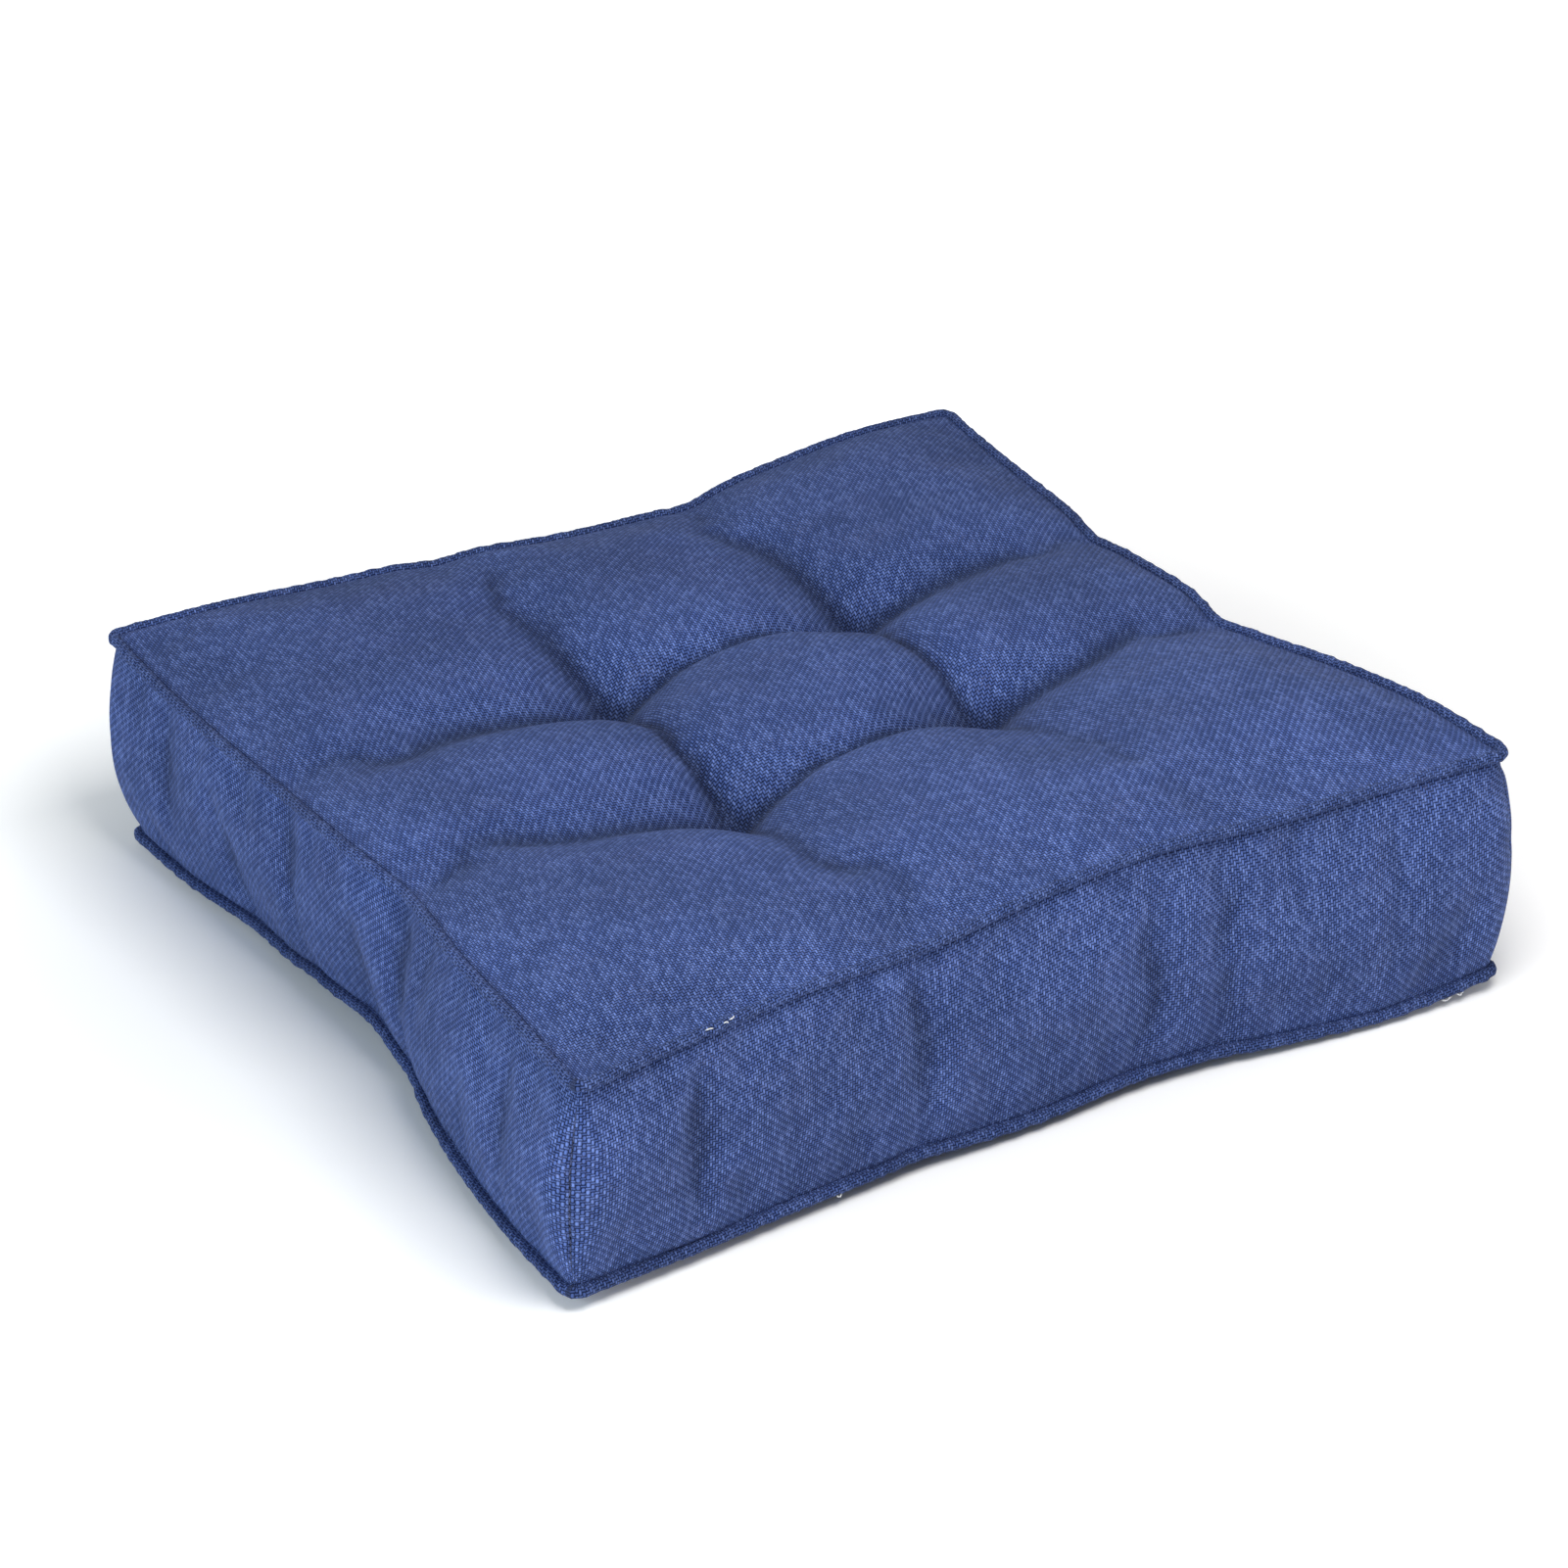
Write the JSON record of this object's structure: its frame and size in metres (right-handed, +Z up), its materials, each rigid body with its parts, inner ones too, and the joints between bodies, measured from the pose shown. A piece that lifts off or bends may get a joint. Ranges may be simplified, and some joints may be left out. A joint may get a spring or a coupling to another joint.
{
  "type": "floor cushion",
  "caption": "Square tufted floor cushion with a piped box edge, soft lobes between sunken thread ties, loose fibre filling and a flat underside.",
  "frame": {"origin": "middle of the footprint, on the surface that the cushion rests on", "axes": "+Z up through the cushion's thickness, +X to the right and +Y to the back, along the seams"},
  "size_m": [0.459, 0.459, 0.127],
  "materials": {
    "cover_fabric": "matte",
    "piping_fabric": "matte",
    "piping_cord": "matte",
    "fibre": "matte",
    "twine": "matte",
    "sewing_thread": "matte"
  },
  "bodies": {
    "root": {"top_panel": "cover_fabric", "bottom_panel": "cover_fabric", "side_panel_front": "cover_fabric", "side_panel_right": "cover_fabric", "side_panel_back": "cover_fabric", "side_panel_left": "cover_fabric", "top_piping_cover": "piping_fabric", "bottom_piping_cover": "piping_fabric", "top_piping_cord": "piping_cord", "bottom_piping_cord": "piping_cord", "fibre_fill": "fibre", "tuft_tie_front_left": "twine", "tuft_tie_front_right": "twine", "tuft_tie_back_left": "twine", "tuft_tie_back_right": "twine", "corner_seam_thread_front_right": "sewing_thread", "corner_seam_thread_back_right": "sewing_thread", "corner_seam_thread_back_left": "sewing_thread", "corner_seam_thread_front_left": "sewing_thread", "top_seam_thread": "sewing_thread", "bottom_seam_thread": "sewing_thread", "closing_seam_thread": "sewing_thread"}
  },
  "joints": []
}
